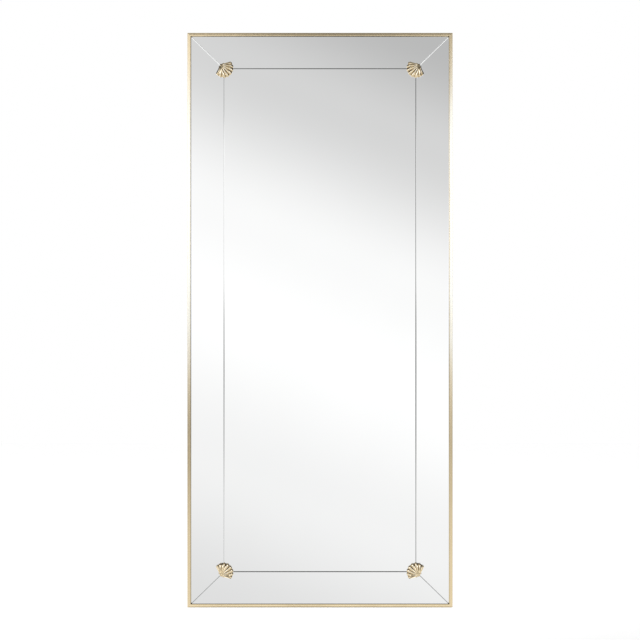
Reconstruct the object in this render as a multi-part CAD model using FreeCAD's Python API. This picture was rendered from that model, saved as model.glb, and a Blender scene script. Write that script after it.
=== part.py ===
import FreeCAD, Part

import math
import os

# A tall wall mirror. Five silvered panels sit in a slim brass tube frame, and a cast scallop shell
# covers each point where three panels meet. Millimetres, Z up, the glass faces -Y, and the origin is
# the middle of the mirror on the wall plane.

# Whole mirror
mirror_width = 900.0
mirror_height = 1950.0

# Frame tube
tube_face = 11.0
tube_depth = 30.0
tube_wall = 1.5
tube_face_fall = 0.6
tube_edge_radius = 0.5
cavity_edge_radius = 0.6

# Corner keys inside the tubes
key_leg = 60.0
key_clearance = 0.15
key_screw_share = 0.6

# Mirror panels, tape and backing board
glass_thickness = 5.0
side_border = 113.0
end_border = 109.8
panel_gap = 0.5
bevel_width = 1.3
bevel_depth = 0.5
corner_dub = 3.5
perimeter_gap = 0.3
tape_thickness = 1.0
tape_width = 20.0
tape_length_share = 0.86
centre_tape_shares = (-0.6, 0.0, 0.6)
board_thickness = 9.0

# Setting blocks under the glass and the board
block_length = 60.0
block_place_share = 0.25

# Board brackets
bracket_width = 30.0
bracket_leg = 22.0
bracket_thickness = 2.0
bracket_wall_clearance = 1.0
bracket_screw_margin = 0.3
bracket_screw_share = 0.62
rail_bracket_shares = (-0.28, 0.28)
stile_bracket_shares = (-0.36, -0.12, 0.12, 0.36)

# Scallop shells
shell_rim_radius = 33.4
shell_umbo_offset = 16.4
shell_set_back = 2.0
shell_fan_angle = 134.0
shell_axis_angle = 50.0
shell_rib_count = 8
shell_section_count = 10
shell_rim_thickness = 2.2
shell_crown = 9.5
shell_lobe_depth = 3.0
shell_crest_skew = 1.25
shell_valley_share = 0.42
shell_side_falloff = 10
umbo_radius = 5.0
umbo_advance = 3.4
umbo_lift = 1.6
umbo_notch = 3.0
ear_radius = 4.0
ear_advance = 5.2
ear_spread = 8.2
ear_lift = 0.4

# Shell fixings
pad_diameter = 20.0
pad_thickness = 0.8
stud_diameter = 5.0
stud_grip = 7.0
stud_overhang = 1.0
stud_glass_clearance = 1.5
stud_board_clearance = 0.4
thread_clearance = 0.05
washer_diameter = 15.0
washer_thickness = 1.0
nut_width = 8.0
nut_height = 4.0
nut_flats = 6

# Screws
screw_clearance = 0.05
key_screw_diameter = 2.5
key_screw_head = 4.8
key_screw_length = 10.0
bracket_screw_diameter = 3.5
bracket_screw_head = 6.4
bracket_screw_head_height = 2.0
bracket_screw_edge_radius = 0.7
bracket_frame_screw_length = 7.0
bracket_board_screw_length = 9.5
hanger_screw_diameter = 3.5
hanger_screw_head = 6.6
hanger_screw_head_height = 1.5
hanger_screw_length = 9.5
recess_span_share = 0.58
recess_slot_share = 0.13
recess_depth_share = 0.6

# Hangers on the back
hanger_inset = 92.5
hanger_height = 600.0
strap_width = 16.0
strap_length = 62.0
strap_thickness = 1.5
strap_corner_radius = 5.0
strap_screw_shares = (0.34, 0.6, 0.86)
ring_wire = 4.0
ring_clearance = 0.3
ring_width = 28.0
ring_drop = 9.0
ring_corner_radius = 4.0

# Wall bumpers on the back of the frame
bumper_diameter = 6.0
bumper_thickness = 2.0
bumper_inset = 90.0

# Every cutting tool runs past the stock by this much
overrun = 1.0

# Depth levels, from the wall forwards. The brackets' screws set how far the board lies inside the tube.
bracket_frame_leg = bracket_thickness + bracket_screw_head + 2 * bracket_screw_margin
tube_back = -bumper_thickness
tube_front = tube_back - tube_depth
tube_middle = (tube_back + tube_front) / 2
board_back = tube_back - bracket_wall_clearance - bracket_frame_leg
board_front = board_back - board_thickness
glass_back = board_front - tape_thickness
glass_front = glass_back - glass_thickness
bracket_frame_screw_y = board_back + bracket_thickness + bracket_screw_margin + bracket_screw_head / 2

# Outlines seen from the front, as half sizes about the origin
half_width = mirror_width / 2
half_height = mirror_height / 2
field_x = half_width - tube_face - perimeter_gap
field_z = half_height - tube_face - perimeter_gap
joint_x = field_x - side_border
joint_z = field_z - end_border

origin = FreeCAD.Vector(0, 0, 0)
axis_x = FreeCAD.Vector(1, 0, 0)
axis_y = FreeCAD.Vector(0, 1, 0)
axis_z = FreeCAD.Vector(0, 0, 1)

# The four corners, as signs of X and Z, and the turn about Y that brings the top side to each side
corners = {"top_left": (-1, 1), "top_right": (1, 1), "bottom_left": (-1, -1), "bottom_right": (1, -1)}
sides = {"top": 0, "right": 90, "bottom": 180, "left": 270}


def block(x0, x1, y0, y1, z0, z1):
    """A box between two opposite corners."""
    return Part.makeBox(x1 - x0, y1 - y0, z1 - z0, FreeCAD.Vector(x0, y0, z0))


def polygon(outline, y):
    """A closed wire through (x, z) points at one depth."""
    points = [FreeCAD.Vector(x, y, z) for x, z in outline]
    return Part.makePolygon(points + points[:1])


def prism(outline, y0, y1):
    """A polygon of (x, z) points carried from one depth to another."""
    return Part.Face(polygon(outline, y0)).extrude(axis_y * (y1 - y0))


def rod(diameter, x, z, y0, y1):
    """A cylinder along Y."""
    return Part.makeCylinder(diameter / 2, y1 - y0, FreeCAD.Vector(x, y0, z), axis_y)


def turned(shape, angle):
    """A copy of a shape, turned about the Y axis."""
    copy = shape.copy()
    copy.rotate(origin, axis_y, angle)
    return copy


def moved(shape, x, y, z):
    """A copy of a shape, carried to another place."""
    copy = shape.copy()
    copy.translate(FreeCAD.Vector(x, y, z))
    return copy


def at_shells(shape):
    """Copies of a shape at the four points where the panels meet."""
    return [moved(shape, sign_x * joint_x, 0, sign_z * joint_z) for sign_x, sign_z in corners.values()]


def side_span(side):
    """The half length of a side of the frame, and its distance from the middle."""
    if side in ("top", "bottom"):
        return half_width, half_height
    return half_height, half_width


def bracket_places(side):
    """Where the board brackets sit along a side."""
    half_length = side_span(side)[0]
    shares = rail_bracket_shares if side in ("top", "bottom") else stile_bracket_shares
    return [2 * half_length * share for share in shares]


# Screws, each with its head on the plane y = 0 and its shank towards -Y


def cross_recess(head_diameter, head_height):
    """The cutter for a cross recess in the top of a screw head."""
    span = head_diameter * recess_span_share / 2
    slot = head_diameter * recess_slot_share / 2
    floor = -head_height * recess_depth_share
    level_slot = block(-span, span, floor, overrun, -slot, slot)
    upright_slot = block(-slot, slot, floor, overrun, -span, span)
    return level_slot.fuse(upright_slot)


def countersunk_body(head_diameter, head_height, diameter, length):
    """A flat conical head on a plain shank."""
    head = Part.makeCone(diameter / 2, head_diameter / 2, head_height, -axis_y * head_height, axis_y)
    return head.fuse(rod(diameter, 0, 0, -length, -head_height)).removeSplitter()


def countersunk_screw(head_diameter, head_height, diameter, length):
    """A countersunk screw whose head ends flush with y = 0."""
    screw = countersunk_body(head_diameter, head_height, diameter, length)
    return screw.cut(cross_recess(head_diameter, head_height))


def countersunk_hole(head_diameter, head_height, diameter, length):
    """The seat and hole for a countersunk screw."""
    gap = 2 * screw_clearance
    seat = countersunk_body(head_diameter + gap, head_height, diameter + gap, length + screw_clearance)
    return seat.fuse(rod(head_diameter + gap, 0, 0, 0, overrun))


def pan_head_screw(length):
    """A pan head screw, the underside of its head on y = 0."""
    height = bracket_screw_head_height
    head = rod(bracket_screw_head, 0, 0, 0, height)
    top_edge = [edge for edge in head.Edges if edge.CenterOfMass.y > height - screw_clearance]
    head = head.makeFillet(bracket_screw_edge_radius, top_edge)
    recess = moved(cross_recess(bracket_screw_head, height), 0, height, 0)
    return head.cut(recess).fuse(rod(bracket_screw_diameter, 0, 0, -length, 0)).removeSplitter()


# Frame rails: mitred lengths of rectangular tube


def bar_along_x(length, depth, across):
    """A square-edged bar along X about the origin."""
    return block(-length / 2, length / 2, -depth / 2, depth / 2, -across / 2, across / 2)


def edges_rounded(bar, radius):
    """A bar along X with its four long edges rounded."""
    long_edges = [edge for edge in bar.Edges if edge.BoundBox.XLength > bar.BoundBox.XLength / 2]
    return bar.makeFillet(radius, long_edges)


def front_eased(bar):
    """The tube's bar with its front face rounded back slightly from the inner to the outer edge."""
    radius = (tube_face**2 + tube_face_fall**2) / (2 * tube_face_fall)
    box = bar.BoundBox
    start = FreeCAD.Vector(box.XMin, box.YMin + radius, box.ZMin)
    return bar.common(Part.makeCylinder(radius, box.XLength, start, axis_x))


cavity_depth = tube_depth - 2 * tube_wall
cavity_across = tube_face - 2 * tube_wall
key_screw_inset = tube_wall + key_clearance + key_leg * key_screw_share


def key_screw_places(half_length, distance):
    """Where the corner key screws enter the back of the top rail."""
    return [(sign * (half_length - key_screw_inset), distance - tube_face / 2) for sign in (-1, 1)]


def frame_rail(side):
    """One side of the frame, built as the top rail and turned into its place."""
    half_length, distance = side_span(side)
    bar = bar_along_x(2 * half_length, tube_depth, tube_face)
    tube = edges_rounded(front_eased(bar), tube_edge_radius)
    cavity = bar_along_x(2 * (half_length + overrun), cavity_depth, cavity_across)
    cavity = edges_rounded(cavity, cavity_edge_radius)
    tube = moved(tube.cut(cavity), 0, tube_middle, distance - tube_face / 2)
    outer = half_length + overrun
    inner = half_length - tube_face - overrun
    top = distance + overrun
    foot = distance - tube_face - overrun
    mitre = [(-outer, top), (outer, top), (inner, foot), (-inner, foot)]
    rail = tube.common(prism(mitre, tube_front - overrun, tube_back + overrun))
    seat = countersunk_hole(key_screw_head, tube_wall, key_screw_diameter, tube_wall + overrun)
    for x, z in key_screw_places(half_length, distance):
        rail = rail.cut(moved(seat, x, tube_back, z))
    hole_radius = bracket_screw_diameter / 2 + screw_clearance
    for x in bracket_places(side):
        place = FreeCAD.Vector(x, bracket_frame_screw_y, foot)
        rail = rail.cut(Part.makeCylinder(hole_radius, tube_wall + 2 * overrun, place, axis_z))
    return turned(rail, sides[side])


# Corner keys: two mitred bars in one piece, a sliding fit in the tubes

key_depth = cavity_depth - 2 * key_clearance
key_across = cavity_across - 2 * key_clearance


def key_arm():
    """One arm of a corner key along -X, its mitre through the origin corner."""
    bar = edges_rounded(bar_along_x(2 * key_leg, key_depth, key_across), cavity_edge_radius)
    bar = moved(bar, 0, tube_middle, -key_across / 2)
    far = key_leg + overrun
    outline = [(-key_leg, overrun), (overrun, overrun), (-far, -far), (-key_leg, -far)]
    return bar.common(prism(outline, tube_front, tube_back))


def corner_key(name):
    """The L-shaped key of one corner, with the holes for its two screws."""
    sign_x, sign_z = corners[name]
    arm = key_arm()
    mirrored = arm.mirror(origin, FreeCAD.Vector(1, 0, -1))
    key = arm.fuse(mirrored).removeSplitter()
    if sign_x < 0:
        key = key.mirror(origin, axis_x)
    if sign_z < 0:
        key = key.mirror(origin, axis_z)
    inset = tube_wall + key_clearance
    key = moved(key, sign_x * (half_width - inset), 0, sign_z * (half_height - inset))
    for x, z in corner_key_screw_places(name):
        depth = tube_back - key_screw_length - screw_clearance
        key = key.cut(rod(key_screw_diameter + 2 * screw_clearance, x, z, depth, tube_back))
    return key


def corner_key_screw_places(name):
    """The two screws of a corner: one into each arm of its key."""
    sign_x, sign_z = corners[name]
    middle = tube_face / 2
    on_rail = (sign_x * (half_width - key_screw_inset), sign_z * (half_height - middle))
    on_stile = (sign_x * (half_width - middle), sign_z * (half_height - key_screw_inset))
    return [on_rail, on_stile]


def corner_key_screws():
    """The countersunk screws through the back of the tubes."""
    screw = countersunk_screw(key_screw_head, tube_wall, key_screw_diameter, key_screw_length)
    return [moved(screw, x, tube_back, z) for name in corners for x, z in corner_key_screw_places(name)]


# Mirror panels: flat glass with a narrow polished bevel on every front edge


def inset_outline(outline, insets):
    """A clockwise outline of (x, z) points with each edge drawn in by its own distance."""
    count = len(outline)
    lines = []
    for index, (x0, z0) in enumerate(outline):
        x1, z1 = outline[(index + 1) % count]
        length = math.hypot(x1 - x0, z1 - z0)
        normal_x = (z1 - z0) / length
        normal_z = (x0 - x1) / length
        lines.append((normal_x, normal_z, normal_x * x0 + normal_z * z0 + insets[index]))
    corners_in = []
    for index in range(count):
        ax, az, a = lines[index - 1]
        bx, bz, b = lines[index]
        det = ax * bz - az * bx
        corners_in.append(((a * bz - az * b) / det, (ax * b - a * bx) / det))
    return corners_in


def mirror_panel(outline, insets):
    """A panel with its edges set back for the joints and a bevel round its front."""
    edge = inset_outline(outline, insets)
    face = inset_outline(edge, [bevel_width] * len(edge))
    shoulder = glass_front + bevel_depth
    levels = [polygon(edge, glass_back), polygon(edge, shoulder), polygon(face, glass_front)]
    panel = Part.makeLoft(levels, True, True)
    notch_diameter = stud_diameter + 2 * stud_glass_clearance
    notch = rod(notch_diameter, 0, 0, glass_front - overrun, glass_back + overrun)
    for placed_notch in at_shells(notch):
        panel = panel.cut(placed_notch)
    return panel


def centre_mirror():
    """The large panel inside the four borders."""
    outline = [(-joint_x, joint_z), (joint_x, joint_z), (joint_x, -joint_z), (-joint_x, -joint_z)]
    return mirror_panel(outline, [panel_gap / 2] * len(outline))


def border_mirror(side):
    """A mitred border panel between the frame and the centre panel, its two sharp corners dubbed off."""
    half_gap = panel_gap / 2
    insets = [0, 0, half_gap, half_gap, half_gap, 0]
    mitre_slope = end_border / side_border
    if side in ("top", "bottom"):
        x = field_x - corner_dub
        z = field_z - corner_dub * mitre_slope
        outline = [(-x, field_z), (x, field_z), (x, z), (joint_x, joint_z), (-joint_x, joint_z), (-x, z)]
    else:
        x = field_x - corner_dub / mitre_slope
        z = field_z - corner_dub
        outline = [(field_x, z), (field_x, -z), (x, -z), (joint_x, -joint_z), (joint_x, joint_z), (x, z)]
    sign = 1 if side in ("top", "right") else -1
    return mirror_panel([(sign * x, sign * z) for x, z in outline], insets)


def mounting_tape():
    """Strips of double-sided tape between the panels and the board."""
    half = tape_width / 2
    strips = []
    for share in centre_tape_shares:
        x = joint_x * share
        reach = joint_z * tape_length_share
        strips.append(block(x - half, x + half, glass_back, board_front, -reach, reach))
    for sign in (-1, 1):
        x = sign * (joint_x + field_x) / 2
        z = sign * (joint_z + field_z) / 2
        reach_x = joint_x * tape_length_share
        reach_z = joint_z * tape_length_share
        strips.append(block(x - half, x + half, glass_back, board_front, -reach_z, reach_z))
        strips.append(block(-reach_x, reach_x, glass_back, board_front, z - half, z + half))
    return strips


# Backing board and what holds it


def board_screw_places():
    """The bracket screws in the board, as (x, z) points."""
    places = []
    for side, angle in sides.items():
        level = side_span(side)[1] - tube_face - bracket_leg * bracket_screw_share
        cosine = math.cos(math.radians(angle))
        sine = math.sin(math.radians(angle))
        for x in bracket_places(side):
            places.append((x * cosine + level * sine, level * cosine - x * sine))
    return places


def hanger_screw_places(sign):
    """The strap screws of one hanger, as (x, z) points."""
    x = sign * (field_x - hanger_inset)
    return [(x, hanger_height - strap_length * share) for share in strap_screw_shares]


def backing_board():
    """The board behind the panels, drilled for the studs and the screws."""
    board = block(-field_x, field_x, board_front, board_back, -field_z, field_z)
    hole_diameter = stud_diameter + 2 * stud_board_clearance
    hole = rod(hole_diameter, 0, 0, board_front - overrun, board_back + overrun)
    for placed_hole in at_shells(hole):
        board = board.cut(placed_hole)
    pilot = bracket_screw_diameter + 2 * screw_clearance
    foot = board_back + bracket_thickness - bracket_board_screw_length - screw_clearance
    for x, z in board_screw_places():
        board = board.cut(rod(pilot, x, z, foot, board_back + overrun))
    pilot = hanger_screw_diameter + 2 * screw_clearance
    foot = board_back + strap_thickness - hanger_screw_length - screw_clearance
    for x, z in hanger_screw_places(-1) + hanger_screw_places(1):
        board = board.cut(rod(pilot, x, z, foot, board_back + overrun))
    return board


def setting_blocks():
    """Two packers on the bottom rail, under the glass and the board."""
    floor = -half_height + tube_face
    front = glass_front + bevel_depth
    reach = block_length / 2
    blocks = []
    for sign in (-1, 1):
        x = sign * mirror_width * block_place_share
        blocks.append(block(x - reach, x + reach, front, board_back, floor, floor + perimeter_gap))
    return blocks


def board_bracket(side, x):
    """An L bracket between the tube and the back of the board."""
    wall = side_span(side)[1] - tube_face
    left = x - bracket_width / 2
    right = x + bracket_width / 2
    inside = wall - bracket_thickness
    on_board = block(left, right, board_back, board_back + bracket_thickness, wall - bracket_leg, wall)
    on_tube = block(left, right, board_back, board_back + bracket_frame_leg, inside, wall)
    bracket = on_board.fuse(on_tube).removeSplitter()
    hole = bracket_screw_diameter + 2 * screw_clearance
    level = wall - bracket_leg * bracket_screw_share
    back = board_back + bracket_thickness + overrun
    bracket = bracket.cut(rod(hole, x, level, board_back - overrun, back))
    place = FreeCAD.Vector(x, bracket_frame_screw_y, inside - overrun)
    bracket = bracket.cut(Part.makeCylinder(hole / 2, bracket_thickness + 2 * overrun, place, axis_z))
    return turned(bracket, sides[side])


def board_brackets():
    """All the brackets round the frame."""
    return [board_bracket(side, x) for side in sides for x in bracket_places(side)]


def bracket_frame_screws():
    """The screws from the brackets into the tubes."""
    screw = pan_head_screw(bracket_frame_screw_length)
    screw.rotate(origin, axis_x, -90)
    screws = []
    for side, angle in sides.items():
        level = side_span(side)[1] - tube_face - bracket_thickness
        for x in bracket_places(side):
            screws.append(turned(moved(screw, x, bracket_frame_screw_y, level), angle))
    return screws


def bracket_board_screws():
    """The screws from the brackets into the board."""
    screw = pan_head_screw(bracket_board_screw_length - bracket_screw_head_height)
    return [moved(screw, x, board_back + bracket_thickness, z) for x, z in board_screw_places()]


# Scallop shells: a ribbed, domed fan with a lobed rim, an umbo and two small ears. The stud is at zero.

umbo_x = -shell_umbo_offset - shell_set_back


def scallop_point(along, rib):
    """A point of the shell's face. 'along' runs from the umbo (0) to the rim (1), 'rib' across the ribs.

    The rim is a circle, seen from an umbo off its centre and drawn in by the lobe depth in each valley.
    The height follows a half ellipse from umbo to rim, falls off at the two straight sides and dips in
    each valley between two ribs.
    """
    share = 2 * rib / shell_rib_count - 1
    angle = math.radians(shell_fan_angle / 2) * share
    valley = math.cos(math.pi * rib) ** 2
    offset = shell_umbo_offset
    rim = offset * math.cos(angle) + math.sqrt(shell_rim_radius**2 - (offset * math.sin(angle)) ** 2)
    rim -= shell_lobe_depth * valley
    reach = math.sin(math.pi / 2 * along) ** (2 * shell_crest_skew)
    radius = umbo_notch + (rim - umbo_notch) * reach
    side = math.sqrt(max(0, 1 - abs(share) ** shell_side_falloff))
    height = shell_crown * math.sin(math.pi * along) * side * (1 - shell_valley_share * reach * valley)
    x = umbo_x + radius * math.cos(angle)
    return FreeCAD.Vector(x, radius * math.sin(angle), shell_rim_thickness + height)


def rib_arc(along, rib):
    """The arc over one rib, from valley to valley."""
    points = [scallop_point(along, rib + step / 2) for step in range(3)]
    return Part.Arc(*points).toShape()


def scallop():
    """The shell lying on z = 0, its umbo towards -X and the stud hole at the origin."""
    sections = []
    for index in range(shell_section_count + 1):
        along = index / shell_section_count
        sections.append(Part.Wire([rib_arc(along, rib) for rib in range(shell_rib_count)]))
    crown = Part.makeLoft(sections, False, False)
    outline = crown.getFreeEdges().Edges
    drop = -axis_z * shell_rim_thickness
    walls = [edge.extrude(drop) for edge in outline]
    foot = Part.Wire(Part.__sortEdges__(outline))
    foot.translate(drop)
    fan = Part.Shell(crown.Faces + walls + [Part.Face(foot)])
    fan.sewShape()
    fan = Part.Solid(fan)
    if fan.Volume < 0:
        fan.reverse()
    bulbs = [Part.makeSphere(umbo_radius, FreeCAD.Vector(umbo_x + umbo_advance, 0, umbo_lift))]
    for sign in (-1, 1):
        place = FreeCAD.Vector(umbo_x + ear_advance, sign * ear_spread, ear_lift)
        bulbs.append(Part.makeSphere(ear_radius, place))
    reach = 2 * shell_rim_radius
    above = block(-reach, reach, -reach, reach, 0, reach)
    shell = fan.fuse([bulb.common(above) for bulb in bulbs])
    bore = stud_diameter / 2 + thread_clearance
    return shell.cut(Part.makeCylinder(bore, stud_grip + thread_clearance, origin, axis_z))


def placed_shell(shell, name):
    """A copy of the shell over one joint of the panels, its fan open to the middle of the mirror."""
    sign_x, sign_z = corners[name]
    turn = math.radians(shell_axis_angle)
    along = FreeCAD.Vector(-sign_x * math.cos(turn), 0, -sign_z * math.sin(turn))
    outward = -axis_y
    rotation = FreeCAD.Rotation(along, outward.cross(along), outward, "XYZ")
    place = FreeCAD.Vector(sign_x * joint_x, glass_front - pad_thickness, sign_z * joint_z)
    copy = shell.copy()
    copy.Placement = FreeCAD.Placement(place, rotation)
    return copy


def shell_pads():
    """Soft pads between the shells and the glass."""
    front = glass_front - pad_thickness
    bore = rod(stud_diameter + 2 * thread_clearance, 0, 0, front - overrun, glass_front + overrun)
    return at_shells(rod(pad_diameter, 0, 0, front, glass_front).cut(bore))


def shell_studs():
    """Threaded studs from the shells through the panels and the board."""
    tail = board_back + washer_thickness + nut_height + stud_overhang
    head = glass_front - pad_thickness - stud_grip
    return at_shells(rod(stud_diameter, 0, 0, head, tail))


def shell_washers():
    """Washers on the back of the board."""
    back = board_back + washer_thickness
    bore = rod(stud_diameter + 2 * stud_board_clearance, 0, 0, board_back - overrun, back + overrun)
    return at_shells(rod(washer_diameter, 0, 0, board_back, back).cut(bore))


def shell_nuts():
    """Hexagon nuts on the studs."""
    seat = board_back + washer_thickness
    back = seat + nut_height
    tip = nut_width / 2 / math.cos(math.pi / nut_flats)
    angles = [2 * math.pi * index / nut_flats for index in range(nut_flats)]
    nut = prism([(tip * math.cos(angle), tip * math.sin(angle)) for angle in angles], seat, back)
    bore = rod(stud_diameter + 2 * thread_clearance, 0, 0, seat - overrun, back + overrun)
    return at_shells(nut.cut(bore))


# Hangers: a strap with a rolled knuckle, and a D-ring that swings in it

knuckle_bore = ring_wire / 2 + ring_clearance
knuckle_radius = knuckle_bore + strap_thickness
knuckle_y = board_back + knuckle_radius


def hanger_strap(sign):
    """A strap screwed to the board, rolled at its top into a knuckle for the ring."""
    x = sign * (field_x - hanger_inset)
    left = x - strap_width / 2
    low = hanger_height - strap_length
    outside = board_back + strap_thickness
    rise = math.sqrt(knuckle_radius**2 - knuckle_bore**2)
    foot_in = FreeCAD.Vector(left, board_back, low)
    root = FreeCAD.Vector(left, board_back, hanger_height)
    crest = FreeCAD.Vector(left, knuckle_y, hanger_height + knuckle_radius)
    back = FreeCAD.Vector(left, knuckle_y + knuckle_radius, hanger_height)
    under = FreeCAD.Vector(left, knuckle_y, hanger_height - knuckle_radius)
    tuck = FreeCAD.Vector(left, outside, hanger_height - rise)
    foot_out = FreeCAD.Vector(left, outside, low)
    edges = [
        Part.LineSegment(foot_in, root).toShape(),
        Part.Arc(root, crest, back).toShape(),
        Part.Arc(back, under, tuck).toShape(),
        Part.LineSegment(tuck, foot_out).toShape(),
        Part.LineSegment(foot_out, foot_in).toShape(),
    ]
    strap = Part.Face(Part.Wire(edges)).extrude(axis_x * strap_width)
    foot_edges = []
    for edge in strap.Edges:
        if edge.BoundBox.ZMax < low + overrun and edge.BoundBox.XLength < strap_width / 2:
            foot_edges.append(edge)
    strap = strap.makeFillet(strap_corner_radius, foot_edges)
    knuckle_start = FreeCAD.Vector(left - overrun, knuckle_y, hanger_height)
    strap = strap.cut(Part.makeCylinder(knuckle_bore, strap_width + 2 * overrun, knuckle_start, axis_x))
    depth = strap_thickness + overrun
    seat = countersunk_hole(hanger_screw_head, hanger_screw_head_height, hanger_screw_diameter, depth)
    for screw_x, screw_z in hanger_screw_places(sign):
        strap = strap.cut(moved(seat, screw_x, outside, screw_z))
    return strap


def hanger_ring(sign):
    """A D-ring of round wire: a bar in the knuckle, two legs and a half round end, hanging down."""
    x = sign * (field_x - hanger_inset)
    half = ring_width / 2
    corner = ring_corner_radius
    bend = corner * (1 - math.sqrt(0.5))

    def at(across, down):
        return FreeCAD.Vector(x + across, knuckle_y, hanger_height - down)

    edges = [
        Part.LineSegment(at(corner - half, 0), at(half - corner, 0)).toShape(),
        Part.Arc(at(half - corner, 0), at(half - bend, bend), at(half, corner)).toShape(),
        Part.LineSegment(at(half, corner), at(half, ring_drop)).toShape(),
        Part.Arc(at(half, ring_drop), at(0, ring_drop + half), at(-half, ring_drop)).toShape(),
        Part.LineSegment(at(-half, ring_drop), at(-half, corner)).toShape(),
        Part.Arc(at(-half, corner), at(bend - half, bend), at(corner - half, 0)).toShape(),
    ]
    wire = Part.Wire(Part.makeCircle(ring_wire / 2, at(corner - half, 0), axis_x))
    return Part.Wire(edges).makePipeShell([wire], True, True)


def hanger_screws():
    """The flush screws of both straps."""
    sizes = (hanger_screw_head, hanger_screw_head_height, hanger_screw_diameter, hanger_screw_length)
    screw = countersunk_screw(*sizes)
    places = hanger_screw_places(-1) + hanger_screw_places(1)
    return [moved(screw, x, board_back + strap_thickness, z) for x, z in places]


def wall_bumpers():
    """Four round bumpers on the back of the stiles."""
    bumpers = []
    for sign_x, sign_z in corners.values():
        x = sign_x * (half_width - tube_face / 2)
        bumpers.append(rod(bumper_diameter, x, sign_z * (half_height - bumper_inset), tube_back, 0))
    return bumpers


# One file for each piece or group of like pieces

shell_casting = scallop()
pieces = {
    "frame_top_rail": frame_rail("top"),
    "frame_bottom_rail": frame_rail("bottom"),
    "frame_left_stile": frame_rail("left"),
    "frame_right_stile": frame_rail("right"),
    "corner_key_screws": corner_key_screws(),
    "centre_mirror": centre_mirror(),
    "top_border_mirror": border_mirror("top"),
    "bottom_border_mirror": border_mirror("bottom"),
    "left_border_mirror": border_mirror("left"),
    "right_border_mirror": border_mirror("right"),
    "mounting_tape": mounting_tape(),
    "backing_board": backing_board(),
    "setting_blocks": setting_blocks(),
    "board_brackets": board_brackets(),
    "bracket_frame_screws": bracket_frame_screws(),
    "bracket_board_screws": bracket_board_screws(),
    "shell_pads": shell_pads(),
    "shell_studs": shell_studs(),
    "shell_washers": shell_washers(),
    "shell_nuts": shell_nuts(),
    "hanger_strap_left": hanger_strap(-1),
    "hanger_strap_right": hanger_strap(1),
    "hanger_ring_left": hanger_ring(-1),
    "hanger_ring_right": hanger_ring(1),
    "hanger_screws": hanger_screws(),
    "wall_bumpers": wall_bumpers(),
}
for corner_name in corners:
    pieces["corner_key_" + corner_name] = corner_key(corner_name)
    pieces["shell_" + corner_name] = placed_shell(shell_casting, corner_name)

os.makedirs("parts", exist_ok=True)
for node, piece in pieces.items():
    shape = Part.makeCompound(piece) if isinstance(piece, list) else piece
    shape.exportStep("parts/" + node + ".step")
    print(node, len(shape.Solids), round(shape.Volume), shape.isValid())
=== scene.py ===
import math

import bmesh
import bpy
import numpy as np
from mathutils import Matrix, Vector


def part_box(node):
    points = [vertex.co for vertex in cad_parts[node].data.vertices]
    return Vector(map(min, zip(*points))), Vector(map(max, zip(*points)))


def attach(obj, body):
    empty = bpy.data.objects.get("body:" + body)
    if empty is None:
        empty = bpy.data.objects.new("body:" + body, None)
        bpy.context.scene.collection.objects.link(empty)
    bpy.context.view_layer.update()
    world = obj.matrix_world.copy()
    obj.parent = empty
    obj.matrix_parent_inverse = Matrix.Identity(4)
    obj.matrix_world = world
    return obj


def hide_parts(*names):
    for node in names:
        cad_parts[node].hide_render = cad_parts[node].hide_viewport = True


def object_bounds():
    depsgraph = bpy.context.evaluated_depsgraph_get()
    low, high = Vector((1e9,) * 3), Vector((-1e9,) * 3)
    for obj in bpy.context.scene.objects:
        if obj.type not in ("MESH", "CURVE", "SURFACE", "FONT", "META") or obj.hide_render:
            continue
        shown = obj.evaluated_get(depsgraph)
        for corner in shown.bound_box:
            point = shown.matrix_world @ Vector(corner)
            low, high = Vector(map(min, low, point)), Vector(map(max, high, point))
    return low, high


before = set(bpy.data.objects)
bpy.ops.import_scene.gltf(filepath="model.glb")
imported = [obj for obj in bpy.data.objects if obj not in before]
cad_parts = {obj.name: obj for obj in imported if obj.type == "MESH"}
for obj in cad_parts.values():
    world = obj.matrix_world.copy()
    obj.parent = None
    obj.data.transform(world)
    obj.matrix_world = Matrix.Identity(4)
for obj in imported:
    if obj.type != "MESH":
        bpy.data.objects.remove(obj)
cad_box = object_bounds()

# Frame rails and stiles.
# Four lengths of rectangular brass tube with rounded edges, mitred at the corners and drawn together by
# keys inside. The pale brass is brushed along each length to a satin shine and lacquered.
brass_light = (0.83, 0.69, 0.455, 1.0)
brass_deep = (0.76, 0.615, 0.385, 1.0)
brass_roughness = (0.11, 0.15)
brass_anisotropy = 0.6
brass_patch = 0.12
streak_tone = 0.6
patch_tone = 0.3
lines_along = 14.0
lines_across = 2400.0
line_detail = 3.0
line_roughness = 0.6
line_depth = 0.0001
line_relief = 0.02
streak_scale = 0.12
streak_detail = 2.0
patch_detail = 4.0
patch_edge = (0.35, 0.7)
dull_range = (0.2, 1.6)


def connect(tree, node, inputs):
    """Sets a node's inputs by name or number, from values or from other nodes' outputs."""
    for name, value in inputs.items():
        if isinstance(value, bpy.types.NodeSocket):
            tree.links.new(value, node.inputs[name])
        else:
            node.inputs[name].default_value = value


def add(tree, kind, inputs, **settings):
    """A new shader node with its inputs and settings."""
    made = tree.nodes.new("ShaderNode" + kind)
    for name, value in settings.items():
        setattr(made, name, value)
    connect(tree, made, inputs)
    return made


def reckon(tree, operation, first, second):
    """The output of a math node on two values."""
    return add(tree, "Math", {0: first, 1: second}, operation=operation).outputs[0]


def blend(tree, share, first, second):
    """A colour or a value between two, by a share."""
    return add(tree, "MixRGB", {"Fac": share, "Color1": first, "Color2": second}).outputs["Color"]


def ease(tree, value, low, high, to_low=0.0, to_high=1.0):
    """A value carried smoothly from one range to another and held at its ends."""
    inputs = {"Value": value, "From Min": low, "From Max": high, "To Min": to_low, "To Max": to_high}
    return add(tree, "MapRange", inputs, interpolation_type="SMOOTHSTEP").outputs["Result"]


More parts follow.
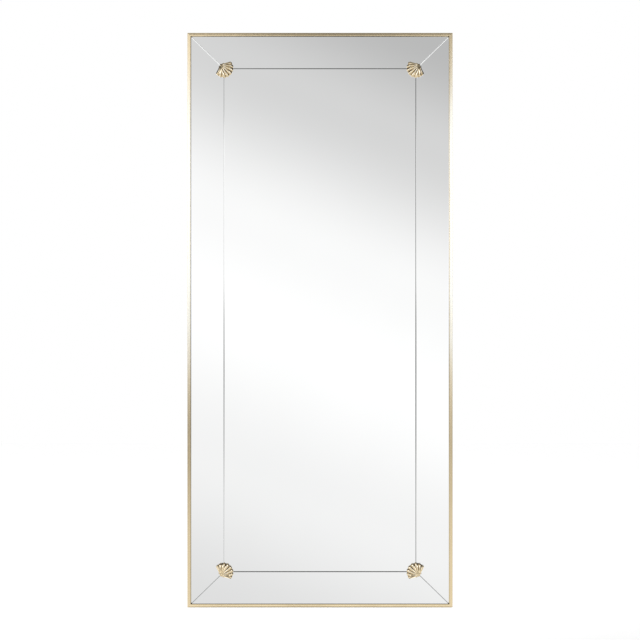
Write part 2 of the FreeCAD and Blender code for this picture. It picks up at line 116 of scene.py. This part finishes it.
def relief(tree, height, depth, strength):
    """A normal bumped by a height from 0 to 1, over a depth in metres."""
    return add(tree, "Bump", {"Height": height, "Distance": depth, "Strength": strength}).outputs["Normal"]


def finish_of(name):
    """A new material with its tree, its shader and the object coordinates."""
    material = bpy.data.materials.new(name)
    material.use_nodes = True
    tree = material.node_tree
    coords = add(tree, "TexCoord", {}).outputs["Object"]
    return material, tree, tree.nodes["Principled BSDF"], coords


def dress(material, *nodes):
    """Gives CAD nodes a material in place of the plain one."""
    for name in nodes:
        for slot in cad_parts[name].material_slots:
            slot.material = material


def effect(name, inputs, outputs):
    """An empty node group with named sockets, and the sockets of its input and output nodes."""
    group = bpy.data.node_groups.new(name, "ShaderNodeTree")
    for socket, kind in inputs.items():
        group.interface.new_socket(socket, in_out="INPUT", socket_type="NodeSocket" + kind)
    for socket in outputs:
        group.interface.new_socket(socket, in_out="OUTPUT", socket_type="NodeSocketFloat")
    return group, group.nodes.new("NodeGroupInput").outputs, group.nodes.new("NodeGroupOutput").inputs


def apply_effect(tree, group, inputs):
    """A group placed in a material with its own values."""
    made = tree.nodes.new("ShaderNodeGroup")
    made.node_tree = group
    connect(tree, made, inputs)
    return made.outputs


# Handling: soft patches where hands and cloths have dulled or polished a surface
handling, given, out = effect("handling", {"Vector": "Vector", "Patch Size": "Float"}, ["Patches"])
patch_scale = reckon(handling, "DIVIDE", 1.0, given["Patch Size"])
patch_inputs = {"Vector": given["Vector"], "Scale": patch_scale, "Detail": patch_detail}
patch_noise = add(handling, "TexNoise", patch_inputs).outputs["Fac"]
handling.links.new(ease(handling, patch_noise, *patch_edge), out["Patches"])


def handled(tree, coords, patch_size):
    """The handling patches of a material, at a size in metres."""
    return apply_effect(tree, handling, {"Vector": coords, "Patch Size": patch_size})["Patches"]


# Brushing: fine lines and broad streaks, close together across the brushed axis and long along it
brush_sockets = {"Vector": "Vector", "Lines Per Metre": "Vector"}
brushing, given, out = effect("brushing", brush_sockets, ["Lines", "Streaks"])
stretch = {"Vector": given["Vector"], "Scale": given["Lines Per Metre"]}
stretched = add(brushing, "Mapping", stretch).outputs["Vector"]
line_inputs = {"Vector": stretched, "Scale": 1.0, "Detail": line_detail, "Roughness": line_roughness}
streak_inputs = {"Vector": stretched, "Scale": streak_scale, "Detail": streak_detail}
brushing.links.new(add(brushing, "TexNoise", line_inputs).outputs["Fac"], out["Lines"])
brushing.links.new(add(brushing, "TexNoise", streak_inputs).outputs["Fac"], out["Streaks"])


def brushed_brass(name, axis, lines_per_metre):
    """Satin brass brushed along one axis."""
    material, tree, shader, coords = finish_of(name)
    brush = apply_effect(tree, brushing, {"Vector": coords, "Lines Per Metre": lines_per_metre})
    patches = handled(tree, coords, brass_patch)
    streaked = reckon(tree, "MULTIPLY", brush["Streaks"], streak_tone)
    tone = reckon(tree, "ADD", streaked, reckon(tree, "MULTIPLY", patches, patch_tone))
    dullness = reckon(tree, "ADD", brush["Lines"], patches)
    connect(tree, shader, {
        "Base Color": blend(tree, tone, brass_light, brass_deep),
        "Metallic": 1.0,
        "Roughness": ease(tree, dullness, *dull_range, *brass_roughness),
        "Anisotropic": brass_anisotropy,
        "Tangent": add(tree, "Tangent", {}, direction_type="RADIAL", axis=axis).outputs["Tangent"],
        "Normal": relief(tree, brush["Lines"], line_depth, line_relief),
    })
    return material


dress(brushed_brass("brass_brushed_level", "X", (lines_along, lines_across, lines_across)),
      "frame_top_rail", "frame_bottom_rail")
dress(brushed_brass("brass_brushed_upright", "Z", (lines_across, lines_across, lines_along)),
      "frame_left_stile", "frame_right_stile")

# Corner keys and their screws.
# The keys are zinc-plated steel, bent to an L, and slide into the tubes. Two small countersunk screws
# through the back of the tubes hold each one; their plating is passivated to a pale yellow.
corners = {"top_left": (-1, 1), "top_right": (1, 1), "bottom_left": (-1, -1), "bottom_right": (1, -1)}
zinc_dark = (0.56, 0.57, 0.58, 1.0)
zinc_bright = (0.70, 0.71, 0.72, 1.0)
zinc_dull_range = (0.0, 2.0)
zinc_roughness = (0.28, 0.5)
zinc_patch = 0.015
crystals_per_metre = 420.0
yellow_pale = (0.64, 0.60, 0.48, 1.0)
yellow_deep = (0.58, 0.50, 0.33, 1.0)
yellow_roughness = (0.25, 0.42)
yellow_patch = 0.006

zinc_plate, tree, shader, coords = finish_of("zinc_plate")
crystals = add(tree, "TexVoronoi", {"Vector": coords, "Scale": crystals_per_metre}).outputs["Color"]
crystal_tone = add(tree, "SeparateColor", {"Color": crystals}).outputs["Red"]
dullness = reckon(tree, "ADD", crystal_tone, handled(tree, coords, zinc_patch))
connect(tree, shader, {
    "Base Color": blend(tree, crystal_tone, zinc_dark, zinc_bright),
    "Metallic": 1.0,
    "Roughness": ease(tree, dullness, *zinc_dull_range, *zinc_roughness),
})
dress(zinc_plate, *["corner_key_" + corner for corner in corners])

yellow_zinc, tree, shader, coords = finish_of("yellow_zinc")
patches = handled(tree, coords, yellow_patch)
connect(tree, shader, {
    "Base Color": blend(tree, patches, yellow_pale, yellow_deep),
    "Metallic": 1.0,
    "Roughness": ease(tree, patches, 0.0, 1.0, *yellow_roughness),
})
dress(yellow_zinc, "corner_key_screws")

# Backing board.
# Fibreboard cut to the opening of the frame, sealed and rolled with black paint, so that its back has
# the fine orange-peel texture of a roller.
board_black = (0.020, 0.020, 0.021, 1.0)
board_rubbed = (0.034, 0.033, 0.032, 1.0)
board_roughness = (0.5, 0.72)
board_patch = 0.2
peel_grain = 0.0011
peel_depth = 0.0003
peel_relief = 0.35
grain_detail = 3.0


def noise(tree, coords, grain):
    """Noise with lumps of about the grain's size in metres."""
    inputs = {"Vector": coords, "Scale": 1 / grain, "Detail": grain_detail}
    return add(tree, "TexNoise", inputs).outputs["Fac"]


black_board, tree, shader, coords = finish_of("black_board")
peel = noise(tree, coords, peel_grain)
patches = handled(tree, coords, board_patch)
connect(tree, shader, {
    "Base Color": blend(tree, patches, board_black, board_rubbed),
    "Roughness": ease(tree, reckon(tree, "ADD", peel, patches), *dull_range, *board_roughness),
    "Normal": relief(tree, peel, peel_depth, peel_relief),
})
dress(black_board, "backing_board")

# Mounting tape.
# Strips of double-sided foam tape between the board and the panels: white foam with fine closed pores,
# pressed flat as the panels are laid on the board.
pore_shade = (0.60, 0.60, 0.58, 1.0)
foam_white = (0.80, 0.80, 0.78, 1.0)
foam_roughness = 0.8
pores_per_metre = 1400.0
pore_depth = 0.0002
pore_relief = 0.4

white_foam, tree, shader, coords = finish_of("white_foam")
pores = add(tree, "TexVoronoi", {"Vector": coords, "Scale": pores_per_metre}).outputs["Distance"]
connect(tree, shader, {
    "Base Color": blend(tree, pores, pore_shade, foam_white),
    "Roughness": foam_roughness,
    "Normal": relief(tree, pores, pore_depth, pore_relief),
})
dress(white_foam, "mounting_tape")

# Setting blocks.
# Two thin packers of black rubber, cut from strip. They lie on the bottom rail and carry the glass and
# the board.
rubber_black = (0.016, 0.016, 0.016, 1.0)
rubber_grey = (0.036, 0.035, 0.034, 1.0)
rubber_roughness = (0.6, 0.8)
skin_grain = 0.0005
skin_depth = 0.0001
skin_relief = 0.3
noise_range = (0.3, 0.7)

black_rubber, tree, shader, coords = finish_of("black_rubber")
skin = noise(tree, coords, skin_grain)
connect(tree, shader, {
    "Base Color": blend(tree, skin, rubber_black, rubber_grey),
    "Roughness": ease(tree, skin, *noise_range, *rubber_roughness),
    "Normal": relief(tree, skin, skin_depth, skin_relief),
})
dress(black_rubber, "setting_blocks")

# Mirror panels.
# Five panels of float glass, silvered and painted behind, with a narrow polished bevel on every front
# edge. Tape bonds them to the board, edge to edge with a hairline joint.
silver_clean = (0.945, 0.949, 0.948, 1.0)
silver_smeared = (0.936, 0.941, 0.939, 1.0)
bevel_dark = (0.86, 0.87, 0.865, 1.0)
bevel_bright = (0.92, 0.93, 0.925, 1.0)
edge_deep = (0.10, 0.15, 0.13, 1.0)
edge_pale = (0.16, 0.22, 0.19, 1.0)
paint_dark = (0.20, 0.21, 0.22, 1.0)
paint_pale = (0.26, 0.27, 0.28, 1.0)
smear_size = 0.35
smear_roughness = 0.012
bevel_roughness = (0.06, 0.06, 0.06, 1.0)
edge_roughness = (0.5, 0.5, 0.5, 1.0)
fleck_grain = 0.0014
front_facing = (-0.3, -0.6)
bevel_facing = (-0.99, -0.96)
back_facing = (0.9, 0.98)

silvered_glass, tree, shader, coords = finish_of("silvered_glass")
normal = add(tree, "NewGeometry", {}).outputs["Normal"]
facing = add(tree, "SeparateXYZ", {"Vector": normal}).outputs["Y"]
silvered = ease(tree, facing, *front_facing)
bevelled = ease(tree, facing, *bevel_facing)
painted = ease(tree, facing, *back_facing)
smears = handled(tree, coords, smear_size)
flecks = noise(tree, coords, fleck_grain)
silver = blend(tree, smears, silver_clean, silver_smeared)
bevel = blend(tree, flecks, bevel_dark, bevel_bright)
cut_edge = blend(tree, flecks, edge_deep, edge_pale)
paint = blend(tree, flecks, paint_dark, paint_pale)
front_colour = blend(tree, bevelled, silver, bevel)
front_polish = blend(tree, bevelled, ease(tree, smears, 0.0, 1.0, 0.0, smear_roughness), bevel_roughness)
connect(tree, shader, {
    "Base Color": blend(tree, painted, blend(tree, silvered, cut_edge, front_colour), paint),
    "Metallic": silvered,
    "Roughness": blend(tree, silvered, edge_roughness, front_polish),
})
dress(silvered_glass, "centre_mirror", "top_border_mirror", "bottom_border_mirror")
dress(silvered_glass, "left_border_mirror", "right_border_mirror")

# Shell fixings.
# Each shell stands on a thin disc of clear silicone. A threaded stud runs from it through the panels and
# the board to a washer and a nut behind.
silicone_milky = (0.62, 0.62, 0.60, 1.0)
silicone_clear = (0.76, 0.76, 0.74, 1.0)
silicone_roughness = (0.35, 0.5)
cloud_grain = 0.004

clear_silicone, tree, shader, coords = finish_of("clear_silicone")
clouds = noise(tree, coords, cloud_grain)
connect(tree, shader, {
    "Base Color": blend(tree, clouds, silicone_milky, silicone_clear),
    "Roughness": ease(tree, clouds, *noise_range, *silicone_roughness),
})
dress(clear_silicone, "shell_pads")
dress(yellow_zinc, "shell_studs", "shell_nuts")
dress(zinc_plate, "shell_washers")

# Scallop shells.
# Four brass castings over the points where three panels meet: eight ribs fan out from a rounded umbo
# with two small ears, to a lobed rim. They are buffed bright, and the grooves keep a brown patina.
rim_radius = 0.0334
umbo_offset = 0.0164
set_back = 0.0020
fan_angle = math.radians(134.0)
axis_angle = math.radians(50.0)
rib_count = 8
rim_thickness = 0.0022
crown = 0.0095
lobe_depth = 0.0030
crest_skew = 1.25
valley_share = 0.28
valley_roundness = 0.90
side_falloff = 10
umbo_notch = 0.0030
umbo_radius = 0.0050
umbo_advance = 0.0034
umbo_lift = 0.0016
umbo_x = -umbo_offset - set_back
ear_radius = 0.0040
ear_advance = 0.0052
ear_spread = 0.0082
ear_lift = 0.0004
bulb_foot = 0.0003
growth_lines = 11
growth_depth = 0.00018
stud_diameter = 0.005
stud_grip = 0.007
thread_clearance = 0.0002
steps_per_rib = 18
steps_along = 64
steps_round = 48
weld_distance = 1e-7
sliver_width = 2e-6
sharp_angle = math.radians(55)
groove_growth = 3
groove_delay = 0.5
crest_pale = (0.81, 0.675, 0.45, 1.0)
crest_deep = (0.75, 0.61, 0.38, 1.0)
patina_brown = (0.45, 0.32, 0.16, 1.0)
patina_range = (0.15, 1.0)
buffed_range = (0.0, 1.6)
buffed_roughness = (0.04, 0.26)
buffed_patch = 0.008
pit_grain = 0.0012
pit_depth = 0.00006
pit_relief = 0.15
pit_share = 0.2


def valley_dip(rib):
    """How far into a valley a place across the ribs lies, on a round arch: 0 on a crest, 1 in a valley."""
    off_crest = 2 * np.abs(rib % 1 - 0.5)
    arch = 1 - np.sqrt(1 - valley_roundness * off_crest**2)
    return arch / (1 - math.sqrt(1 - valley_roundness))


def rim_distance(angle, dip):
    """From the umbo to the rim: a circle seen from off its centre, drawn in at each valley."""
    circle = umbo_offset * np.cos(angle) + np.sqrt(rim_radius**2 - (umbo_offset * np.sin(angle)) ** 2)
    return circle - lobe_depth * dip


def scallop_face(along, rib):
    """The fan's face over arrays of 'along' (umbo 0, rim 1) and 'rib' (0 to the rib count).

    Height is the square root of half a sine wave from umbo to rim, times a fall at the two straight sides,
    times the crown, which loses an arch that deepens towards the rim in each valley and a fine saw-tooth of
    steps where the shell grew.
    """
    share = 2 * rib / rib_count - 1
    angle = fan_angle / 2 * share
    dip = valley_dip(rib)
    reach = np.sin(np.pi / 2 * along) ** (2 * crest_skew)
    radius = umbo_notch + (rim_distance(angle, dip) - umbo_notch) * reach
    side = np.sqrt(np.clip(1 - np.abs(share) ** side_falloff, 0, 1))
    steps = growth_depth * reach * (reach * growth_lines % 1)
    height = np.sqrt(np.sin(np.pi * along)) * side * (crown * (1 - valley_share * reach * dip) - steps)
    return np.stack([umbo_x + radius * np.cos(angle), radius * np.sin(angle), rim_thickness + height], -1)


def turned_form(x, y, radii, heights):
    """Rings of points about an upright axis at x, y, from a profile of radii and heights."""
    turn = np.linspace(0, 2 * np.pi, steps_round + 1)
    ring = np.stack([np.cos(turn), np.sin(turn), np.zeros_like(turn)], -1)
    points = radii[:, None, None] * ring + np.array([x, y, 0])
    points[..., 2] = heights[:, None]
    return points


def ball(x, y, lift, radius):
    """The part of a ball above a plane just clear of the glass, as rings from its top to the plane."""
    fall = np.linspace(0, math.acos((bulb_foot - lift) / radius), steps_round // 2)
    return turned_form(x, y, radius * np.sin(fall), lift + radius * np.cos(fall))


def grid_mesh(name, points):
    """A mesh of a grid of points, with a four-cornered face in every cell."""
    rows, columns = points.shape[:2]
    index = np.arange(rows * columns).reshape(rows, columns)
    cells = np.stack([index[:-1, :-1], index[1:, :-1], index[1:, 1:], index[:-1, 1:]], -1)
    mesh = bpy.data.meshes.new(name)
    mesh.from_pydata(points.reshape(-1, 3).tolist(), [], cells.reshape(-1, 4).tolist())
    return mesh


def in_scene(name, data):
    """A new object in the scene, from a mesh, a lamp or a camera."""
    made = bpy.data.objects.new(name, data)
    bpy.context.scene.collection.objects.link(made)
    return made


def closed_object(name, points):
    """An object from a grid of points, its doubled points merged and its open border closed by a face."""
    mesh = grid_mesh(name, points)
    work = bmesh.new()
    work.from_mesh(mesh)
    bmesh.ops.remove_doubles(work, verts=work.verts, dist=weld_distance)
    bmesh.ops.holes_fill(work, edges=[edge for edge in work.edges if edge.is_boundary])
    bmesh.ops.recalc_face_normals(work, faces=work.faces)
    work.to_mesh(mesh)
    work.free()
    return in_scene(name, mesh)


# The fan's face with a skirt down to the glass, joined to the umbo and the ears and bored for the stud
along = np.linspace(0, 1, steps_along)[:, None]
rib = np.linspace(0, rib_count, rib_count * steps_per_rib + 1)[None, :]
face = scallop_face(*np.broadcast_arrays(along, rib))
skirted = np.pad(face, ((1, 1), (1, 1), (0, 0)), mode="edge")
skirted[[0, -1], :, 2] = 0
skirted[:, [0, -1], 2] = 0
fan = closed_object("shell_fan", skirted)
tools = {"umbo": closed_object("shell_umbo", ball(umbo_x + umbo_advance, 0, umbo_lift, umbo_radius))}
for side, sign in (("left", -1), ("right", 1)):
    ear = ball(umbo_x + ear_advance, sign * ear_spread, ear_lift, ear_radius)
    tools[side + "_ear"] = closed_object("shell_ear", ear)
bore = stud_diameter / 2 + thread_clearance
bore_radii = np.array([0, bore, bore])
bore_heights = np.array([1, 1, -1]) * (stud_grip + thread_clearance)
tools["bore"] = closed_object("shell_bore", turned_form(0, 0, bore_radii, bore_heights))
for name, tool in tools.items():
    cut = fan.modifiers.new(name, "BOOLEAN")
    cut.operation = "DIFFERENCE" if name == "bore" else "UNION"
    cut.object = tool
casting = bpy.data.meshes.new_from_object(fan.evaluated_get(bpy.context.evaluated_depsgraph_get()))
work = bmesh.new()
work.from_mesh(casting)
bmesh.ops.triangulate(work, faces=work.faces)
bmesh.ops.dissolve_degenerate(work, dist=sliver_width, edges=work.edges)
work.to_mesh(casting)
work.free()
for pattern in [fan, *tools.values()]:
    bpy.data.objects.remove(pattern)

# How deep in a groove each point of the casting lies, for the patina
points = np.empty(len(casting.vertices) * 3)
casting.vertices.foreach_get("co", points)
points = points.reshape(-1, 3)
angle = np.clip(np.arctan2(points[:, 1], points[:, 0] - umbo_x), -fan_angle / 2, fan_angle / 2)
dip = valley_dip((angle / fan_angle + 0.5) * rib_count)
reach = np.hypot(points[:, 1], points[:, 0] - umbo_x) / rim_distance(angle, dip)
groove = dip**2 * np.clip(groove_growth * reach - groove_delay, 0, 1)
casting.attributes.new("groove", "FLOAT", "POINT").data.foreach_set("value", groove)
casting.polygons.foreach_set("use_smooth", np.ones(len(casting.polygons), bool))
casting.set_sharp_from_angle(angle=sharp_angle)

buffed_brass, tree, shader, coords = finish_of("buffed_brass")
groove = add(tree, "Attribute", {}, attribute_name="groove").outputs["Fac"]
patches = handled(tree, coords, buffed_patch)
pits = noise(tree, coords, pit_grain)
crest_colour = blend(tree, patches, crest_pale, crest_deep)
grime = reckon(tree, "ADD", groove, reckon(tree, "MULTIPLY", pits, pit_share))
patina = ease(tree, grime, *patina_range)
connect(tree, shader, {
    "Base Color": blend(tree, patina, crest_colour, patina_brown),
    "Metallic": 1.0,
    "Roughness": ease(tree, reckon(tree, "ADD", patina, patches), *buffed_range, *buffed_roughness),
    "Normal": relief(tree, pits, pit_depth, pit_relief),
})
casting.materials.clear()
casting.materials.append(buffed_brass)

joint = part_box("shell_studs")[1]
joint_x = joint.x - stud_diameter / 2
joint_z = joint.z - stud_diameter / 2
outward = np.array([0, -1, 0])
for corner, (sign_x, sign_z) in corners.items():
    node = "shell_" + corner
    forward = np.array([-sign_x * math.cos(axis_angle), 0, -sign_z * math.sin(axis_angle)])
    place = np.array([sign_x * joint_x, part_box(node)[1].y, sign_z * joint_z])
    placed = points @ np.stack([forward, np.cross(outward, forward), outward]) + place
    mesh = casting.copy()
    mesh.vertices.foreach_set("co", placed.ravel())
    mesh.update()
    shell = in_scene("scallop_" + corner, mesh)
    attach(shell, "mirror")
    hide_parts(node)
bpy.data.meshes.remove(casting)

# Board brackets and their screws.
# Steel strip folded to an L and zinc plated: one leg is screwed to the tube, the other to the board, so
# that the board can't fall out of the back.
dress(zinc_plate, "board_brackets")
dress(yellow_zinc, "bracket_frame_screws", "bracket_board_screws")

# Hangers.
# A zinc-plated strap, its end rolled into a knuckle round the bar of a swinging D-ring of steel wire,
# is held to the board by flush screws.
dress(zinc_plate, "hanger_strap_left", "hanger_strap_right", "hanger_ring_left", "hanger_ring_right")
dress(yellow_zinc, "hanger_screws")

# Wall bumpers.
# Black rubber dots, moulded and stuck to the back of the stiles near the corners. They keep the frame
# off the wall.
dress(black_rubber, "wall_bumpers")

# Studio surround.
# What the mirror and the brass reflect, and nothing else sees: a white band that fades to grey, tall soft
# lights and bright panels beside it, walls, a dark ceiling with windows, and a pale skirting and ground.
surround_radius = 9.0
wall_reach = (-3.0, 3.0)
ceiling_reach = (2.0, 9.0)
ground_reach = (0.0, 6.0)
band_slope = 0.405
band_reach = (-3.24, 2.76)
band_tones = [(-2.64, 0.78), (-1.44, 0.95), (-0.24, 1.08), (0.56, 1.02), (1.76, 0.70), (2.56, 0.52)]
left_strip_tones = [
    (-2.2, 0.9), (-1.8, 0.88), (-1.3, 0.65), (-0.95, 0.42), (-0.7, 0.52), (-0.4, 0.9),
    (-0.1, 1.2), (0.3, 1.35), (0.8, 1.5), (1.6, 1.5), (1.9, 1.25), (2.2, 1.05)
]
right_strip_tones = [
    (-2.2, 0.92), (-1.8, 0.92), (-1.3, 0.72), (-0.95, 0.58), (-0.7, 0.68), (-0.4, 0.95),
    (-0.1, 1.25), (0.3, 1.4), (0.8, 1.5), (1.6, 1.45), (1.9, 0.9), (2.2, 0.62)
]
strip_from = (1.02, 1.1)
strip_change = (-0.5, 0.5)
daylight = (0.89, 1.09, 1.6, 1.0)
daylight_foot = (-0.7, 0.0)
daylight_head = (2.2, 1.5)
flank_tones = [
    (-2.4, 0.6), (-1.5, 0.65), (-0.8, 0.12), (-0.4, 0.03), (-0.05, 0.18),
    (0.35, 0.95), (1.4, 0.95), (1.7, 0.5), (2.6, 0.4)
]
left_wall_tones = [
    (-2.4, 1.05), (-1.5, 1.05), (-0.8, 0.72), (-0.4, 0.5), (-0.05, 0.75),
    (0.35, 1.35), (1.4, 1.35), (1.7, 0.8), (2.6, 0.5)
]
right_wall_tones = [
    (-2.4, 0.4), (-1.5, 0.4), (-0.8, 0.06), (-0.4, 0.01), (-0.05, 0.04),
    (0.35, 0.19), (1.4, 0.19), (1.7, 0.1)
]
flank_from = (4.2, 4.7)
left_wall_from = (-5.4, -6.0)
right_wall_from = (5.4, 6.0)
panel_light = (4.2, 4.4, 5.0, 1.0)
panel_sides = ((2.8, 3.4), (4.7, 3.9))
panel_ends = ((-0.5, 0.7), (2.5, 1.1))
ceiling_tones = [
    (2.4, 0.8), (2.85, 0.66), (3.2, 0.2), (3.65, 0.2), (3.8, 0.4),
    (4.05, 0.4), (4.3, 0.05), (6.6, 0.03), (6.9, 0.25)
]
ceiling_from = (2.34, 2.6)
glare_reach = (-1.2, 1.2)
glare_tones = [(-1.1, 2.0), (-0.8, 1.8), (-0.3, 1.1), (0.0, 1.0), (0.4, 1.05), (0.9, 1.4), (1.1, 1.5)]
vault_tones = [(2.4, 0.5), (2.8, 0.1), (4.2, 0.1), (4.8, 0.3)]
vault_side_tones = [(2.4, 0.3), (2.8, 0.02)]
vault_from = (1.2, 1.6)
vault_side_from = (3.7, 4.2)
window_light = (1.55, 1.55, 1.55, 1.0)
window_sides = ((1.9, 2.4), (3.9, 3.3))
window_ends = ((5.0, 5.5), (7.0, 6.4))
near_ground_tones = [(0.0, 0.1), (0.8, 0.13), (1.4, 0.75), (6.0, 0.75)]
far_ground_tones = [(0.0, 0.1), (0.8, 0.13), (1.6, 2.0), (2.5, 0.75), (3.2, 0.75), (4.2, 0.9)]
far_ground_from = (-5.4, -5.8)
skirting_tones = [(1.1, 1.12), (1.4, 1.4)]
beside_from = (2.8, 4.4)
skirting_from = (-2.36, -2.5)
skirting_from_beside = (-2.0, -3.4)
ground_from = (-3.55, -3.75)
ground_from_beside = (-3.0, -5.0)


def tones(tree, value, low, high, stops):
    """A grey that runs along a value, through stops of place and level."""
    share = add(tree, "MapRange", {"Value": value, "From Min": low, "From Max": high}).outputs["Result"]
    ramp = add(tree, "ValToRGB", {"Fac": share})
    ramp.color_ramp.interpolation = "EASE"
    for _ in stops[2:]:
        ramp.color_ramp.elements.new(0.5)
    for element, (place, grey) in zip(ramp.color_ramp.elements, stops):
        element.position = (place - low) / (high - low)
        element.color = (grey, grey, grey, 1.0)
    return ramp.outputs["Color"]


def tinted(tree, colour, tint):
    """One colour times another."""
    inputs = {"Fac": 1.0, "Color1": colour, "Color2": tint}
    return add(tree, "MixRGB", inputs, blend_type="MULTIPLY").outputs["Color"]


def between(tree, value, rise, fall):
    """A share that rises over one range of a value and falls over another."""
    return reckon(tree, "MULTIPLY", ease(tree, value, *rise), ease(tree, value, *fall))


# A half sphere in front of the mirror, as a grid of points by rise and turn
rise = np.linspace(-np.pi / 2, np.pi / 2, steps_round + 1)[:, None]
turn = np.linspace(np.pi, 2 * np.pi, steps_round + 1)
level = np.cos(rise)
bowl = np.stack([level * np.cos(turn), level * np.sin(turn), np.sin(rise) + 0 * turn], -1) * surround_radius
surround = in_scene("studio_surround", grid_mesh("studio_surround", bowl))
for ray in ("camera", "diffuse", "transmission", "volume_scatter", "shadow"):
    setattr(surround, "visible_" + ray, False)

soft_light, tree, shader, coords = finish_of("studio_soft_light")
soft_light.cycles.emission_sampling = "NONE"
tree.nodes.remove(shader)
spot = add(tree, "SeparateXYZ", {"Vector": coords}).outputs
sideways = spot["X"]
upward = spot["Z"]
aside = add(tree, "Math", {0: sideways}, operation="ABSOLUTE").outputs[0]

# Opposite the mirror and beside it: the band, the tall lights, the walls and the bright panels
slant = reckon(tree, "ADD", upward, reckon(tree, "MULTIPLY", sideways, band_slope))
band = tones(tree, slant, *band_reach, band_tones)
left_strip = tones(tree, upward, *wall_reach, left_strip_tones)
right_strip = tones(tree, upward, *wall_reach, right_strip_tones)
strip = blend(tree, ease(tree, sideways, *strip_change), left_strip, right_strip)
daylit = between(tree, upward, daylight_foot, daylight_head)
strip = blend(tree, daylit, strip, tinted(tree, strip, daylight))
flank = tones(tree, upward, *wall_reach, flank_tones)
left_wall = tones(tree, upward, *wall_reach, left_wall_tones)
right_wall = tones(tree, upward, *wall_reach, right_wall_tones)
flank = blend(tree, ease(tree, sideways, *left_wall_from), flank, left_wall)
flank = blend(tree, ease(tree, sideways, *right_wall_from), flank, right_wall)
panel = reckon(tree, "MULTIPLY", between(tree, aside, *panel_sides), between(tree, upward, *panel_ends))
tone = blend(tree, ease(tree, aside, *strip_from), band, strip)
tone = blend(tree, ease(tree, aside, *flank_from), tone, flank)
tone = blend(tree, panel, tone, panel_light)

# Above: the ceiling with a glare along it, vaults at its sides, and windows in the vaults
glare = tones(tree, sideways, *glare_reach, glare_tones)
ceiling = tinted(tree, tones(tree, upward, *ceiling_reach, ceiling_tones), glare)
vault = tones(tree, upward, *ceiling_reach, vault_tones)
vault_side = tones(tree, upward, *ceiling_reach, vault_side_tones)
vault = blend(tree, ease(tree, aside, *vault_side_from), vault, vault_side)
ceiling = blend(tree, ease(tree, aside, *vault_from), ceiling, vault)
window = reckon(tree, "MULTIPLY", between(tree, aside, *window_sides), between(tree, upward, *window_ends))
ceiling = blend(tree, window, ceiling, window_light)
tone = blend(tree, ease(tree, upward, *ceiling_from), tone, ceiling)

# Below: the skirting and the ground, with softer edges towards the sides
beside = ease(tree, aside, *beside_from)
skirting = tones(tree, aside, *ground_reach, skirting_tones)
skirting_share = ease(tree, upward, *skirting_from)
skirting_share = blend(tree, beside, skirting_share, ease(tree, upward, *skirting_from_beside))
tone = blend(tree, skirting_share, tone, skirting)
near_ground = tones(tree, aside, *ground_reach, near_ground_tones)
far_ground = tones(tree, aside, *ground_reach, far_ground_tones)
ground = blend(tree, ease(tree, upward, *far_ground_from), near_ground, far_ground)
ground_share = ease(tree, upward, *ground_from)
ground_share = blend(tree, beside, ground_share, ease(tree, upward, *ground_from_beside))
tone = blend(tree, ground_share, tone, ground)
glow = add(tree, "Emission", {"Color": tone, "Strength": 1.0}).outputs["Emission"]
connect(tree, tree.nodes["Material Output"], {"Surface": glow})
surround.data.materials.append(soft_light)

# Studio floor, air and lamp.
# A plain pale floor well below the hung mirror, even light all round, and one large soft lamp.
white = (1.0, 1.0, 1.0, 1.0)
floor_grey = (0.85, 0.85, 0.85, 1.0)
floor_glow = 0.45
floor_drop = 0.35
floor_reach = 14.0
floor_level = cad_box[0][2] - floor_drop
ambient_level = 0.6
lamp_size = 3.0
lamp_power = 220.0
lamp_place = (-3.2, -3.4, 3.6)

floor_line = np.array([-floor_reach, floor_reach])
floor_x, floor_y = np.meshgrid(floor_line, floor_line, indexing="ij")
floor_grid = np.stack([floor_x, floor_y, np.full_like(floor_x, floor_level)], -1)
floor = in_scene("studio_floor", grid_mesh("studio_floor", floor_grid))
floor.visible_glossy = False
pale_floor, tree, shader, coords = finish_of("studio_floor")
camera_ray = add(tree, "LightPath", {}).outputs["Is Camera Ray"]
connect(tree, shader, {
    "Base Color": floor_grey,
    "Roughness": 1.0,
    "Emission Color": white,
    "Emission Strength": reckon(tree, "MULTIPLY", camera_ray, floor_glow),
})
floor.data.materials.append(pale_floor)

world = bpy.data.worlds.new("studio_air")
bpy.context.scene.world = world
world.use_nodes = True
tree = world.node_tree
path = add(tree, "LightPath", {}).outputs
seen = reckon(tree, "MAXIMUM", path["Is Camera Ray"], path["Is Glossy Ray"])
seen = reckon(tree, "MAXIMUM", seen, path["Is Transmission Ray"])
connect(tree, tree.nodes["Background"], {
    "Color": white,
    "Strength": ease(tree, seen, 0.0, 1.0, ambient_level, 1.0),
})

lamp = bpy.data.lights.new("studio_lamp", "AREA")
lamp.shape = "DISK"
lamp.size = lamp_size
lamp.energy = lamp_power
lamp_object = in_scene("studio_lamp", lamp)
lamp_object.location = lamp_place
lamp_object.rotation_euler = (-lamp_object.location).to_track_quat("-Z", "Y").to_euler()
lamp_object.visible_glossy = False

# Camera.
# Straight on to the middle of the mirror, with a long lens.
camera_distance = 6.5
view_span = 2.1716
picture_pixels = 640
shift_pixels = 0.19

camera = bpy.data.cameras.new("camera")
camera.lens = camera.sensor_width * camera_distance / view_span
camera.shift_y = shift_pixels / picture_pixels
camera_object = in_scene("camera", camera)
camera_object.location = (0.0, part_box("frame_top_rail")[0].y - camera_distance, 0.0)
camera_object.rotation_euler = (math.pi / 2, 0.0, 0.0)
bpy.context.scene.camera = camera_object
bpy.context.scene.view_settings.view_transform = "Standard"
